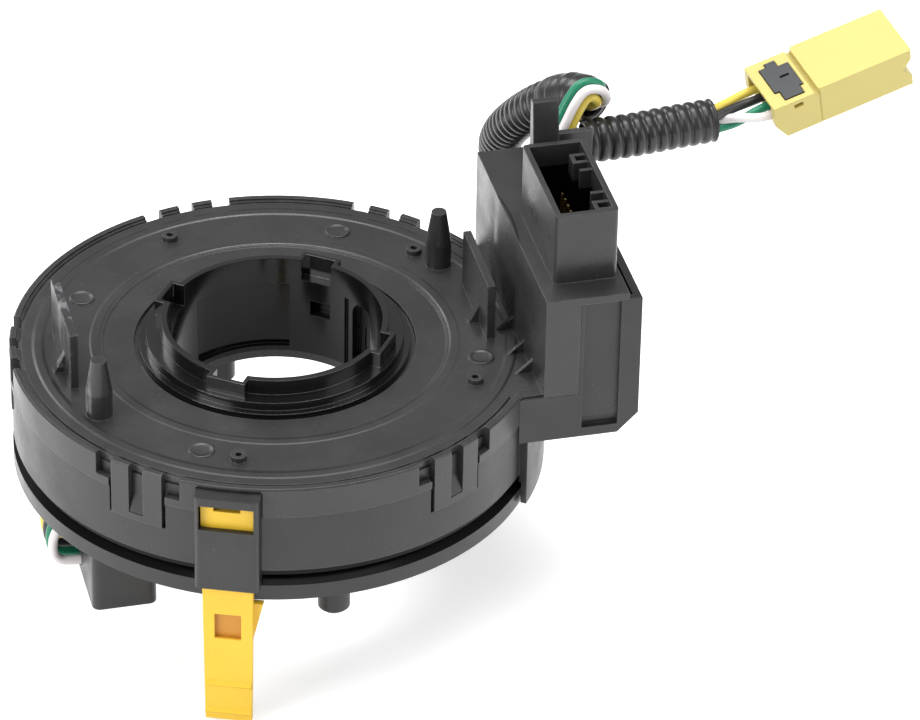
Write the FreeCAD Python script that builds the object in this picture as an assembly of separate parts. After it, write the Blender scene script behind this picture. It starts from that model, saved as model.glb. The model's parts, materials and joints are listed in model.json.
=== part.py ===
import FreeCAD, Part
import math
import os

os.makedirs("parts", exist_ok=True)

# Steering clock spring. The round casing turns about Z. z = 0 is the flat outer face of the cover,
# +Z points out of that face, and X runs along the short side of the rectangular connector case.

# Casing drum
DRUM_R = 52.3            # outside of the cover's skirt and collar
SKIRT_PROUD = 0.3        # the skirt stands this far proud of the wall below it
SKIRT_T = 1.4
SKIRT_DEPTH = 6.0
COVER_T = 1.8
WALL_BOTTOM = -20.2
WALL_T = 2.6             # the flat cable lies inside the wall
WALL_STEP_Z = -18.6      # below this the wall is set back
WALL_STEP = 0.9
FIT = 0.05               # gap between pieces that are snapped or laid together

# Cover face
GROOVE_IN = 2.4          # from the rim in to the line circle
GROOVE_W = 0.5
GROOVE_DEPTH = 0.4
COLLAR_H = 0.5
COLLAR_CHAMFER = 0.3
DISH_IN = 6.2            # width of the sunk ring round the bore
DISH_DEPTH = 0.3
BORE_EDGE_GAP = 1.0      # outside the hub's flange
LIP_GAP = 0.4            # from the hub's sleeve to the lip under its flange
LIP_TOP = -1.3
LIP_T = 1.6

# Snap arms round the rim
SNAP_ANGLES = (49.6, 98.8, 170.0, 227.4, 300.0)
SNAP_HALF = 10.3         # degrees from the middle of an arm to the end of its notches
ARM_HALF = 6.2
ARM_SLOT_HALF = 1.7
ARM_SLIT = 0.7           # degrees, the slit at each edge of an arm
ARM_DEPTH = 11.7
ARM_SLOT_DEPTH = 10.2
NOTCH_DEPTH = 4.3
TOOTH_TOP = -6.4
TOOTH_H = 3.6

# Small features of the cover face
BOSS_ANGLES = (36.0, 108.5, 180.0, 248.5, 326.8)
BOSS_R = 41.9
BOSS_D = 3.2
BOSS_HOLE_D = 1.4
BOSS_H = 1.2
DIMPLE_ANGLES = (59.9, 147.4, 238.0, 338.3)
DIMPLE_R = 41.0
DIMPLE_D = 5.0
DIMPLE_H = 0.3
POST_ANGLES = (27.5, 205.4)
POST_R = 42.6
POST_D = 5.2
POST_TIP_D = 3.0
POST_STRAIGHT = 5.5
POST_H = 12.4
RIB_X = 41.6             # the two upright ribs stand at +X and -X, along Y
RIB_T = 1.6
RIB_H = 12.3
RIB_Y0 = -9.0
RIB_Y1 = 11.6
RIB_FOOT = 2.2
RIB_FOOT_Y = -2.9
RIB_FOOT_H = 5.0

# Connector case beside the drum
CASE_IN = 5.5            # the case's inner wall stands this far inside the rim
CASE_DEPTH = 19.2
CASE_Y0 = -31.0
CASE_Y1 = 25.1
CASE_TOP = 21.9
CASE_BOTTOM = -10.4
CASE_T = 1.6
CASE_ROOT_GAP = 0.25     # from the wall's outer side to the foot of the case's front face
SEAM_FROM = 7.0          # from the inner wall to the parting line between the cover's box and the tower
SEAM_Z = -0.3            # and its level part along the front
REBATE_T = 0.8
TOP_DROP = 1.4           # the tower's rim lies this far under the top plate
TOP_GROOVE = 1.0
CASE_CHAMFER = 4.2
CHANNEL_FROM = 0.8       # from the parting line
CHANNEL_W = 7.2
CHANNEL_DEPTH = 0.8
CHANNEL_BOTTOM = -8.4
POCKET_DEPTH = 1.2
POCKET_H = 2.0
GUSSET_Y = (-6.7, -15.4, -22.3)
GUSSET_LEG = 3.4
GUSSET_H = 3.0
GUSSET_T = 0.8
GUARD_GAP = 0.4          # between the flange's rim and the guard wall outside it
GUARD_T = 1.2
GUARD_BOTTOM = -25.0

# Column-side socket on top of the case
SOCKET_IN = 3.0          # from the case's inner wall
SOCKET_W = 12.6
SOCKET_Y0 = -25.1
SOCKET_Y1 = 1.8
SOCKET_TOP = 37.3
SOCKET_T = 1.15
SOCKET_FLOOR = 20.9
SOCKET_EDGE_R = 1.0
KEY_Y = (-3.9, -21.3)
KEY_W = 3.4
KEY_REACH = 3.0
KEY_T = 0.8
KEY_DROP = 0.8
HOOK_Y = (-8.2, -16.6)
HOOK_REACH = 2.4
PIN_COUNT = 6
PIN_PITCH = 2.2
PIN_W = 0.64
PIN_IN = (3.8, 6.4)      # the two rows, from the socket's inner side
PIN_Y = -16.8            # first pin of each row
PIN_TOP = 30.0
PIN_ROOT = 6.0
HOLDER_T = 3.0
HOLDER_Z = 8.0
HOLDER_GAP = 0.3

# Saddle that holds the corrugated tube behind the socket
SADDLE_IN = 9.8          # from the case's inner wall
SADDLE_L = 8.6
SADDLE_CRADLE = 2.0      # length of the cradle under the tube's end
SADDLE_WALL = 1.5
SADDLE_TOP = 36.4
SADDLE_BACK_TOP = 30.0
FIN_IN = 6.0
FIN_W = 5.2
FIN_TOP = 44.3
FIN_FRONT = 2.6          # how far the fin's foot comes forward of its top
SADDLE_GAP = 0.3         # round the tube in its saddle

# Rotor
BORE_R = 21.15
RING_TOP = 5.1
RING_T = 1.25
LEDGE_OUT = 1.4          # outside the sleeve
LEDGE_TOP = 1.9
HUB_FLANGE_OUT = 2.8     # outside the sleeve
HUB_FLANGE_TOP = 0.2
HUB_FLANGE_T = 1.2
SLEEVE_T = 2.85
SLEEVE_BOTTOM = -16.9
NOTCH_ANGLES = (54.8, 144.8, 234.8, 324.8)
HUB_NOTCH_W = 6.4
HUB_NOTCH_REACH = 2.95   # from the bore to the outside of the box-shaped bulge at a notch
HUB_NOTCH_T = 0.8
HUB_NOTCH_BOTTOM = 0.3
PANEL_ANGLE = 97.3
PANEL_HALF = 27.3
PANEL_DEPTH = 1.2
PANEL_TOP = -0.8
CLIP_ANGLE = 52.6
CLIP_W = 4.4
CLIP_Z = -7.7
CLIP_H = 3.5
WINDOW_ANGLE = 24.9
WINDOW_W = 5.8
WINDOW_H = 15.8
FRAME_HALF = 11.9        # degrees, the shallow recess round the window
FRAME_DEPTH = 0.6
CORE_SLOT_W = 4.0        # slot in the flange's core behind the window
CORE_SLOT_H = 9.0
CORE_T = 1.6
CORE_FIT = 0.1           # between the hub's sleeve and the flange's core
CORE_TOP = -3.4
PLATE_T = 1.7
INNER_STEP = 7.3         # from the core out to the step in the plate
OUTER_PLATE_TOP = -20.7
FLANGE_PROUD = 0.1       # the flange's rim is this much larger than the wall above it
RIM_T = 1.7
RIM_TOP = -22.0
RIM_BOTTOM = -25.4
FLANGE_RIBS = 12
FLANGE_RIB_T = 1.2
DRIVE_PIN_ANGLES = (-86.0, 94.0)
DRIVE_PIN_R = 41.4
DRIVE_PIN_D = 6.3
DRIVE_PIN_BOTTOM = -36.0
DRIVE_PIN_CHAMFER = 0.6
BOX_IN = 10.1            # from the flange's rim to the box's outer side
BOX_DEPTH = 12.8
BOX_Y0 = -26.4
BOX_Y1 = -2.0
BOX_BOTTOM = -41.0
BOX_T = 1.4
BOX_CORNER = 1.6
BOX_FLOOR = -28.0
BOX_PIN_COUNT = 5
BOX_PIN_PITCH = 4.0
BOX_PIN_TIP = -37.0
ROTOR_WIRE_D = 1.9
ROTOR_WIRE_Y = (-3.6, -6.6, -9.6, -12.6)
ROTOR_WIRE_Z = -36.0
ROTOR_WIRE_GAP = 0.3     # round each wire in its holes
ROTOR_WIRE_DROP = 2.4    # from the middle of the bulge down to the hole in the box
ROTOR_WIRE_SHAPE = ((0.4, -5.0), (3.7, 3.4), (3.3, -1.8))   # outward and up, from the plate and the bulge

# Flat cable and its ends
CABLE_TURNS = 5.5
CABLE_T = 0.35
CABLE_TOP = -4.6
CABLE_H = 11.6
CABLE_GAP = 0.5
SLIP_T = 0.3
CABLE_END_HALF = 3.6     # degrees each side of the window's middle
TERMINAL_W = 9.0
TERMINAL_T = 2.6

# Transport lock in its sleeve
LOCK_ANGLE = -111.7
LOCK_W = 10.3
LOCK_END_W = 9.1         # width at its lower end
LOCK_T = 1.5
LOCK_TOP = -3.0
LOCK_BOTTOM = -53.4
LOCK_GAP = 0.2           # all round the lock in its sleeve
LOCK_FACE_GAP = 0.5      # between the flange's rim and the lock
LOCK_HOLE_W = 5.2
LOCK_HOLE_TOP = -28.1
LOCK_HOLE_H = 5.8
LOCK_HOLE_DEPTH = 0.9
LOCK_CLEFT_W = 5.2
LOCK_CLEFT_H = 0.9
LOCK_RIDGES = (-44.0, -50.6)
LOCK_RIDGE_H = 1.6
LOCK_RIDGE_OUT = 0.7
LOCK_WEB_T = 1.4
LOCK_WEB_OUT = 1.5
LOCK_WEB_ROOT = 3.1      # the web starts this far to the side of the strip's middle line
LOCK_WEB_BOTTOM = -41.5
SLEEVE_WALL = 1.2
SLEEVE_W = 12.6
SLEEVE_TOP = -0.4
SLEEVE_END = -21.3
SLEEVE_WINDOW_TOP = -2.1
SLEEVE_WINDOW_H = 5.5
SLEEVE_CORNER = 1.2

# Corrugated tube and its wires
LOOM_D = 9.0
LOOM_BORE_D = 6.6
LOOM_LOWER = ((60.0, 25.6, -3.9), (60.0, 34.0, -3.9), (60.3, 44.0, -4.4), (60.2, 52.6, -3.0),
              (58.4, 52.6, 5.0), (57.6, 46.5, 12.0), (58.2, 39.5, 19.2), (60.2, 31.5, 27.0),
              (63.6, 25.6, 32.4), (67.0, 21.5, 35.0), (68.3, 18.4, 34.9))
LOOM_UPPER = ((65.0, 11.9, 30.1), (73.0, 12.2, 29.8), (83.0, 13.3, 30.1), (92.1, 14.4, 30.0))
TAPE_T = 0.45            # tape wound round the end of the lower tube
TAPE_GAP = 0.05
TAPE_FROM_Y = 28.8       # the tape runs from here to the tube's end
WIRE_D = 1.9
# Middle of the wire bundle: x, y, z, and how much wider it spreads there
WIRE_ROUTE = ((60.0, 21.5, -3.9, 0), (60.0, 34.0, -3.9, 0), (60.3, 44.0, -4.4, 0), (60.2, 52.6, -3.0, 0),
              (58.4, 52.6, 5.0, 0), (57.6, 46.5, 12.0, 0), (58.2, 39.5, 19.2, 0), (60.2, 31.5, 27.0, 0),
              (63.6, 25.6, 32.4, 0), (67.0, 21.5, 35.0, 0), (68.3, 18.3, 35.15, 0), (68.5, 16.2, 36.6, 0),
              (66.9, 14.6, 37.3, 0), (64.4, 14.2, 36.6, 0), (62.2, 13.8, 34.8, 0), (60.2, 12.9, 32.7, 0),
              (57.6, 12.2, 31.9, 0), (55.2, 12.0, 30.8, 0), (54.9, 12.0, 28.2, 0), (56.9, 11.9, 26.6, 0),
              (61.0, 11.9, 27.9, 0), (66.0, 12.0, 30.0, 0), (73.0, 12.2, 29.8, 0), (83.0, 13.3, 30.1, 0),
              (92.1, 14.4, 30.0, 0.1), (98.6, 15.3, 31.0, 0.6), (104.2, 16.0, 32.0, 0.8))
WIRE_PLACES = {"green": (-1.05, -1.05), "white": (1.05, -1.05),
               "yellow": (1.05, 1.05), "black": (-1.05, 1.05)}
GLAND_T = 1.4
GLAND_GAP = 0.3          # round the tube in its gland
GLAND_L = 5.0

# Airbag connector on the pigtail
PLUG_AT = (102.7, 15.8, 31.8)   # middle of the rear face
PLUG_YAW = 9.0
PLUG_PITCH = -13.0
PLUG_ROLL = 10.4
PLUG_L = 30.8
PLUG_W = 13.5
PLUG_H = 9.5
PLUG_REAR_L = 10.0
PLUG_REAR_DROP = 0.7
PLUG_GROOVE = 0.9
PLUG_NOTCH_H = 5.4
PLUG_NOTCH_DEPTH = 2.2
PLUG_MOUTH_W = 9.6
PLUG_MOUTH_H = 5.0
PLUG_MOUTH_L = 13.0
PLUG_BACK_T = 1.6
PLUG_POCKET_W = 10.2     # the hollow in the rear face where the wires go in
PLUG_POCKET_H = 6.8
PLUG_POCKET_DEPTH = 2.6
INSERT_T = 1.2
INSERT_GAP = 0.15
BLADE_W = 1.2
BLADE_T = 0.5
BLADE_PITCH = 2.1
BLADE_COUNT = 4
BLADE_SETBACK = 2.0      # from the bottom of the V to the blades' tips
PLUG_EDGE_R = 0.6
PLUG_SLOT_X = (4.4, 6.4)       # small slot in the rear block's front side
PLUG_SLOT_Z = (2.1, 3.1)
PLUG_SLOT_DEPTH = 0.9
PLUG_HEEL = (2.4, 4.0)         # the rear block's lower edge is cut back by this much
INSERT_PROUD = 0.25
INSERT_OUTLINE = ((2.2, 4.4), (3.8, 4.4), (3.8, 5.4), (6.0, 5.4), (6.0, 3.6), (8.2, 3.6),
                  (8.2, -3.2), (7.4, -3.2), (7.4, -5.4), (3.2, -5.4), (3.2, -2.8), (2.2, -2.8))
INSERT_SLOT = (5.0, 7.0, 0.3, 0.9)

# Sizes that follow from the ones above
WALL_R = DRUM_R - SKIRT_PROUD
REBATE_R = DRUM_R - SKIRT_T
CHAMBER_R = WALL_R - WALL_T
GROOVE_R = DRUM_R - GROOVE_IN
SLEEVE_R = BORE_R + SLEEVE_T
LIP_R = SLEEVE_R + LIP_GAP
LEDGE_R = SLEEVE_R + LEDGE_OUT
HUB_FLANGE_R = SLEEVE_R + HUB_FLANGE_OUT
HUB_NOTCH_R = BORE_R + HUB_NOTCH_REACH
BORE_EDGE_R = HUB_FLANGE_R + BORE_EDGE_GAP
DISH_R = BORE_EDGE_R + DISH_IN
DRUM_CORE_R = SLEEVE_R + CORE_FIT + CORE_T
INNER_PLATE_R = DRUM_CORE_R + INNER_STEP
FLANGE_R = WALL_R + FLANGE_PROUD
CASE_X0 = DRUM_R - CASE_IN
CASE_X1 = CASE_X0 + CASE_DEPTH
SEAM_X = CASE_X0 + SEAM_FROM
CHANNEL_X0 = SEAM_X + CHANNEL_FROM
CHANNEL_X1 = CHANNEL_X0 + CHANNEL_W
SOCKET_X0 = CASE_X0 + SOCKET_IN
SOCKET_X1 = SOCKET_X0 + SOCKET_W
SADDLE_X0 = CASE_X0 + SADDLE_IN
SADDLE_X1 = SADDLE_X0 + SADDLE_L
FIN_X0 = CASE_X0 + FIN_IN
FIN_X1 = FIN_X0 + FIN_W
BOX_X0 = BOX_IN - FLANGE_R
BOX_X1 = BOX_X0 + BOX_DEPTH
GUARD_R = FLANGE_R + GUARD_GAP
GUARD_FROM = math.degrees(math.asin(CASE_Y0 / (GUARD_R + GUARD_T)))
GUARD_TO = math.degrees(math.asin(CASE_Y1 / (GUARD_R + GUARD_T)))
CASE_ROOT_X = math.sqrt(WALL_R ** 2 - CASE_Y0 ** 2) + CASE_ROOT_GAP
LOCK_INNER = FLANGE_R + LOCK_FACE_GAP
OUT = 1.0                # how far a cutting tool runs past the face that it cuts


def vec(x, y, z=0.0):
    return FreeCAD.Vector(x, y, z)


def block(x0, x1, y0, y1, z0, z1):
    return Part.makeBox(x1 - x0, y1 - y0, z1 - z0, vec(x0, y0, z0))


def rod(radius, z0, z1, x=0.0, y=0.0):
    return Part.makeCylinder(radius, z1 - z0, vec(x, y, z0))


def ring(r_out, r_in, z0, z1):
    return rod(r_out, z0, z1).cut(rod(r_in, z0 - OUT, z1 + OUT))


def polar(radius, degrees, z=0.0):
    a = math.radians(degrees)
    return vec(radius * math.cos(a), radius * math.sin(a), z)


def turned(shape, degrees):
    copy = shape.copy()
    copy.rotate(vec(0, 0), vec(0, 0, 1), degrees)
    return copy


def sector(r_out, r_in, z0, z1, a0, a1):
    """Part of a ring between two angles."""
    profile = Part.makePolygon([vec(r_in, 0, z0), vec(r_out, 0, z0), vec(r_out, 0, z1), vec(r_in, 0, z1),
                                vec(r_in, 0, z0)])
    return turned(Part.Face(profile).revolve(vec(0, 0), vec(0, 0, 1), a1 - a0), a0)


def prism(points, direction):
    """A closed outline pushed along a direction."""
    return Part.Face(Part.makePolygon([vec(*p) for p in points + points[:1]])).extrude(vec(*direction))


def lathe(points):
    """A closed outline of (radius, z) points turned about Z."""
    outline = [vec(r, 0, z) for r, z in points + points[:1]]
    return Part.Face(Part.makePolygon(outline)).revolve(vec(0, 0), vec(0, 0, 1), 360)


def join(shapes):
    return shapes[0].fuse(shapes[1:]).removeSplitter()


def rounded_block(x0, x1, y0, y1, z0, z1, radius):
    """A block whose four upright edges are rounded."""
    solid = block(x0, x1, y0, y1, z0, z1)
    return solid.makeFillet(radius, [e for e in solid.Edges if abs(e.tangentAt(e.FirstParameter).z) > 0.99])


def save(name, shape):
    if shape.isNull() or not shape.isValid():
        raise ValueError(name + " is not a sound solid")
    shape.exportStep("parts/" + name + ".step")


# Cover
def snap_arm(angle):
    return sector(DRUM_R, REBATE_R, -ARM_DEPTH, -SKIRT_DEPTH + FIT, angle - ARM_HALF, angle + ARM_HALF)


def snap_cuts(angle):
    """The two notches, the two slits and the middle slot of one snap arm."""
    inner = REBATE_R - OUT / 2
    outer = DRUM_R + OUT
    cuts = [sector(outer, inner, -ARM_SLOT_DEPTH, OUT, angle - ARM_SLOT_HALF, angle + ARM_SLOT_HALF)]
    for start, end in ((-SNAP_HALF, -ARM_HALF), (ARM_HALF, SNAP_HALF)):
        cuts.append(sector(outer, inner, -NOTCH_DEPTH, OUT, angle + start, angle + end))
    for start in (-ARM_HALF - ARM_SLIT, ARM_HALF):
        cuts.append(sector(outer, REBATE_R - OUT / 4, -SKIRT_DEPTH - OUT, -NOTCH_DEPTH + FIT,
                           angle + start, angle + start + ARM_SLIT))
    return cuts


def boss(angle):
    at = polar(BOSS_R, angle)
    return rod(BOSS_D / 2, -FIT, BOSS_H, at.x, at.y)


def boss_hole(angle):
    at = polar(BOSS_R, angle)
    return rod(BOSS_HOLE_D / 2, -COVER_T / 2, BOSS_H + OUT, at.x, at.y)


def dimple(angle):
    at = polar(DIMPLE_R, angle)
    return rod(DIMPLE_D / 2, -FIT, DIMPLE_H, at.x, at.y)


def post(angle):
    """Locating post: a straight foot and a long taper."""
    at = polar(POST_R, angle)
    foot = rod(POST_D / 2, -FIT, POST_STRAIGHT, at.x, at.y)
    taper = Part.makeCone(POST_D / 2, POST_TIP_D / 2, POST_H - POST_STRAIGHT, vec(at.x, at.y, POST_STRAIGHT))
    return foot.fuse(taper)


def upright_rib(side):
    """Upright rib along Y with a low foot on its -X side."""
    middle = side * RIB_X
    wall = prism([(middle - RIB_T / 2, RIB_Y0, -FIT), (middle - RIB_T / 2, RIB_Y1, -FIT),
                  (middle - RIB_T / 2, RIB_Y1, RIB_H), (middle - RIB_T / 2, RIB_Y0, RIB_H)], (RIB_T, 0, 0))
    root = middle - RIB_T / 4
    tip = middle - RIB_T / 2 - RIB_FOOT
    foot = prism([(root, RIB_FOOT_Y, -FIT), (tip, RIB_FOOT_Y, -FIT), (root, RIB_FOOT_Y, RIB_FOOT_H)],
                 (0, RIB_T, 0))
    return wall.fuse(foot)


def gusset(y):
    """Small sloping web between the cover face and the case wall."""
    return prism([(CASE_X0 - GUSSET_LEG, y, -FIT), (CASE_X0 + FIT, y, -FIT), (CASE_X0 + FIT, y, GUSSET_H)],
                 (0, GUSSET_T, 0))


def cover_disc():
    disc = lathe([(BORE_EDGE_R, -COVER_T), (REBATE_R + FIT, -COVER_T), (REBATE_R + FIT, -SKIRT_DEPTH),
                  (DRUM_R, -SKIRT_DEPTH), (DRUM_R, COLLAR_H - COLLAR_CHAMFER),
                  (DRUM_R - COLLAR_CHAMFER, COLLAR_H), (DRUM_R - SKIRT_T, COLLAR_H), (DRUM_R - SKIRT_T, 0),
                  (GROOVE_R + GROOVE_W, 0), (GROOVE_R + GROOVE_W, -GROOVE_DEPTH), (GROOVE_R, -GROOVE_DEPTH),
                  (GROOVE_R, 0), (DISH_R, 0), (DISH_R - DISH_DEPTH, -DISH_DEPTH), (BORE_EDGE_R, -DISH_DEPTH)])
    lip = ring(BORE_EDGE_R + COVER_T, LIP_R, LIP_TOP - LIP_T, LIP_TOP)
    return disc.fuse(lip)


def cover_box():
    """The cover's half of the connector case: inner wall, end walls, base strip and top plate."""
    inside = REBATE_T + FIT
    pieces = [block(CASE_ROOT_X - CASE_T, SEAM_X, CASE_Y0 + inside, CASE_Y1 - inside, -COVER_T, 0),
              block(CASE_X0, CASE_X0 + CASE_T, CASE_Y0, CASE_Y1, SEAM_Z + FIT, CASE_TOP),
              block(CASE_X0, SEAM_X, CASE_Y0, CASE_Y0 + CASE_T, SEAM_Z + FIT, CASE_TOP),
              block(CASE_X0, SEAM_X, CASE_Y1 - CASE_T, CASE_Y1, SEAM_Z + FIT, CASE_TOP),
              block(CASE_X0, CASE_X1 - CASE_T - TOP_GROOVE, CASE_Y0, CASE_Y1, CASE_TOP - CASE_T, CASE_TOP)]
    return join(pieces)


def socket_shell():
    outside = rounded_block(SOCKET_X0, SOCKET_X1, SOCKET_Y0, SOCKET_Y1, CASE_TOP - CASE_T, SOCKET_TOP,
                            SOCKET_EDGE_R)
    inside = block(SOCKET_X0 + SOCKET_T, SOCKET_X1 - SOCKET_T, SOCKET_Y0 + SOCKET_T, SOCKET_Y1 - SOCKET_T,
                   SOCKET_FLOOR, SOCKET_TOP + OUT)
    return outside.cut(inside)


def socket_key(y):
    """Box-shaped key with a hollow, standing on the socket's outer long wall."""
    wall_x = SOCKET_X1 - SOCKET_T
    solid = block(wall_x - KEY_REACH, wall_x + FIT, y - KEY_W / 2, y + KEY_W / 2, SOCKET_FLOOR - FIT,
                  SOCKET_TOP - KEY_DROP)
    hollow = block(wall_x - KEY_REACH + KEY_T, wall_x, y - KEY_W / 2 + KEY_T, y + KEY_W / 2 - KEY_T,
                   SOCKET_FLOOR + OUT, SOCKET_TOP + OUT)
    return solid.cut(hollow)


def socket_hook(y):
    wall_x = SOCKET_X1 - SOCKET_T
    return block(wall_x - HOOK_REACH, wall_x + FIT, y - KEY_T / 2, y + KEY_T / 2, SOCKET_FLOOR - FIT,
                 SOCKET_TOP - KEY_DROP)


def pin_places():
    return [(SOCKET_X0 + x, PIN_Y + row * PIN_PITCH) for x in PIN_IN for row in range(PIN_COUNT)]


def tube_saddle():
    """Two walls and a cradle for the corrugated tube's end, with a sloping fin to their left."""
    axis_y, axis_z = LOOM_UPPER[0][1:]
    room = LOOM_D / 2 + SADDLE_GAP
    front = axis_y - room
    back = axis_y + room
    foot = CASE_TOP - FIT
    cradle = block(SADDLE_X1 - SADDLE_CRADLE, SADDLE_X1, front - FIT, back + FIT, foot, axis_z - LOOM_D / 4)
    groove = Part.makeCylinder(room, SADDLE_L + 2 * OUT, vec(SADDLE_X0 - OUT, axis_y, axis_z), vec(1, 0, 0))
    walls = [block(SADDLE_X0, SADDLE_X1, front - SADDLE_WALL, front, foot, SADDLE_TOP),
             block(SADDLE_X0, SADDLE_X1, back, back + SADDLE_WALL, foot, SADDLE_BACK_TOP)]
    fin = prism([(FIN_X0, front, foot), (FIN_X0, front, FIN_TOP), (FIN_X1, front, FIN_TOP),
                 (FIN_X1 + 2 * FIT, front, foot)], (0, -SADDLE_WALL - FIN_FRONT, 0))
    face = front - SADDLE_WALL
    slope = prism([(FIN_X0 - OUT, face, FIN_TOP + OUT), (FIN_X0 - OUT, face - FIN_FRONT, CASE_TOP + OUT),
                   (FIN_X0 - OUT, face - FIN_FRONT - OUT, CASE_TOP),
                   (FIN_X0 - OUT, face - FIN_FRONT - OUT, FIN_TOP + OUT)], (FIN_W + 2 * OUT, 0, 0))
    return join(walls + [cradle]).cut(groove).fuse(fin.cut(slope))


def upper_cover():
    solid = cover_disc()
    arms = [snap_arm(a) for a in SNAP_ANGLES]
    solid = join([solid] + arms)
    for angle in SNAP_ANGLES:
        solid = solid.cut(snap_cuts(angle))
    skirt_gap = block(CASE_ROOT_X - FIT, CASE_X1, CASE_Y0 - OUT, CASE_Y1 + FIT, -SKIRT_DEPTH - OUT, SEAM_Z)
    collar_gap = block(CASE_ROOT_X, CASE_X1, CASE_Y0, CASE_Y1, 0, COLLAR_H + OUT)
    sleeve_half = SLEEVE_W / 2 + 2 * FIT
    sleeve_gap = turned(block(REBATE_R - FIT, DRUM_R + OUT, -sleeve_half, sleeve_half, -SKIRT_DEPTH - OUT,
                              SLEEVE_TOP + 2 * FIT), LOCK_ANGLE)
    solid = solid.cut([skirt_gap, collar_gap, sleeve_gap])
    raised = [boss(a) for a in BOSS_ANGLES] + [dimple(a) for a in DIMPLE_ANGLES]
    raised += [post(a) for a in POST_ANGLES] + [upright_rib(side) for side in (-1, 1)]
    raised += [gusset(y) for y in GUSSET_Y]
    raised += [cover_box(), socket_shell(), tube_saddle()]
    solid = join([solid] + raised)
    cavity = block(SOCKET_X0 + SOCKET_T, SOCKET_X1 - SOCKET_T, SOCKET_Y0 + SOCKET_T, SOCKET_Y1 - SOCKET_T,
                   SOCKET_FLOOR, SOCKET_TOP + OUT)
    inside = CASE_T + REBATE_T + FIT
    case_room = block(CASE_X0 + CASE_T, SEAM_X + OUT, CASE_Y0 + inside, CASE_Y1 - inside, -COVER_T - OUT, OUT)
    solid = solid.cut([boss_hole(a) for a in BOSS_ANGLES] + [cavity, case_room])
    solid = join([solid] + [socket_key(y) for y in KEY_Y] + [socket_hook(y) for y in HOOK_Y])
    half = PIN_W / 2 + FIT
    holes = [block(x - half, x + half, y - half, y + half, PIN_ROOT, SOCKET_FLOOR + OUT)
             for x, y in pin_places()]
    return solid.cut(holes)


# Casing with the drum wall, the case tower and the lock sleeve
def snap_tooth(angle):
    """Ramped tooth in the slot of a snap arm."""
    half = math.radians(ARM_SLOT_HALF) * WALL_R - 2 * FIT
    root = REBATE_R - OUT
    tip = DRUM_R - FIT
    foot = TOOTH_TOP - TOOTH_H
    tooth = prism([(root, -half, TOOTH_TOP), (REBATE_R - FIT, -half, TOOTH_TOP), (tip, -half, foot),
                   (root, -half, foot)], (0, 2 * half, 0))
    return turned(tooth, angle)


def drum_wall():
    wall = lathe([(CHAMBER_R, WALL_BOTTOM), (WALL_R, WALL_BOTTOM), (WALL_R, -SKIRT_DEPTH - FIT),
                  (REBATE_R - FIT, -SKIRT_DEPTH - FIT), (REBATE_R - FIT, -COVER_T - FIT),
                  (CHAMBER_R, -COVER_T - FIT)])
    half = ARM_HALF + ARM_SLIT
    pockets = [sector(WALL_R + OUT, REBATE_R - FIT, -ARM_DEPTH - 2 * FIT, -SKIRT_DEPTH, a - half, a + half)
               for a in SNAP_ANGLES]
    step = ring(WALL_R + OUT, WALL_R - WALL_STEP, WALL_BOTTOM - OUT, WALL_STEP_Z)
    return wall.cut(pockets + [step])


def guard_wall():
    """Wall outside the flange's rim, under the connector case."""
    guard = sector(GUARD_R + GUARD_T, GUARD_R, GUARD_BOTTOM, CASE_BOTTOM + FIT, GUARD_FROM, GUARD_TO)
    web = sector(GUARD_R + FIT, WALL_R - OUT, WALL_BOTTOM, CASE_BOTTOM + FIT, GUARD_FROM, GUARD_TO)
    return guard.fuse(web)


def case_hollow():
    return block(CASE_X0 - CASE_T, CASE_X1 - CASE_T, CASE_Y0 + CASE_T, CASE_Y1 - CASE_T, CASE_BOTTOM + CASE_T,
                 CASE_TOP + OUT)


def case_tower():
    """Rectangular part of the casing: base, three walls, the front channel and the clipped corner."""
    low = block(CASE_ROOT_X, CASE_X1, CASE_Y0, CASE_Y1, CASE_BOTTOM, -COVER_T - FIT)
    rims = [block(CASE_ROOT_X, CASE_X1, CASE_Y0, CASE_Y0 + REBATE_T, -COVER_T - OUT, SEAM_Z),
            block(CASE_ROOT_X, CASE_X1, CASE_Y1 - REBATE_T, CASE_Y1, -COVER_T - OUT, SEAM_Z)]
    high = block(SEAM_X + FIT, CASE_X1, CASE_Y0, CASE_Y1, -COVER_T - OUT, CASE_TOP - TOP_DROP)
    solid = join([low, high] + rims)
    hollow = [case_hollow(),
              block(SEAM_X, CASE_X1 - CASE_T - TOP_GROOVE + FIT, CASE_Y0 - OUT, CASE_Y1 + OUT,
                    CASE_TOP - CASE_T - FIT, CASE_TOP + OUT)]
    corner = prism([(CASE_X1 - CASE_CHAMFER, CASE_Y0 - OUT, CASE_BOTTOM - FIT),
                    (CASE_X1 + FIT, CASE_Y0 - OUT, CASE_BOTTOM - FIT),
                    (CASE_X1 + FIT, CASE_Y0 - OUT, CASE_BOTTOM + CASE_CHAMFER)],
                   (0, CASE_Y1 - CASE_Y0 + 2 * OUT, 0))
    fill = prism([(CASE_X1 - CASE_CHAMFER - CASE_T, CASE_Y0 + FIT, CASE_BOTTOM + FIT),
                  (CASE_X1 - FIT, CASE_Y0 + FIT, CASE_BOTTOM + FIT),
                  (CASE_X1 - FIT, CASE_Y0 + FIT, CASE_BOTTOM + CASE_CHAMFER + CASE_T)],
                 (0, CASE_Y1 - CASE_Y0 - 2 * FIT, 0))
    channel = [block(CHANNEL_X0, CHANNEL_X1, CASE_Y0 - OUT, CASE_Y0 + CHANNEL_DEPTH, CHANNEL_BOTTOM,
                     CASE_TOP + OUT),
               block(CHANNEL_X0, CHANNEL_X1, CASE_Y0 - OUT, CASE_Y0 + POCKET_DEPTH, CHANNEL_BOTTOM,
                     CHANNEL_BOTTOM + POCKET_H)]
    return solid.cut(hollow).fuse(fill).cut([corner] + channel)


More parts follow.
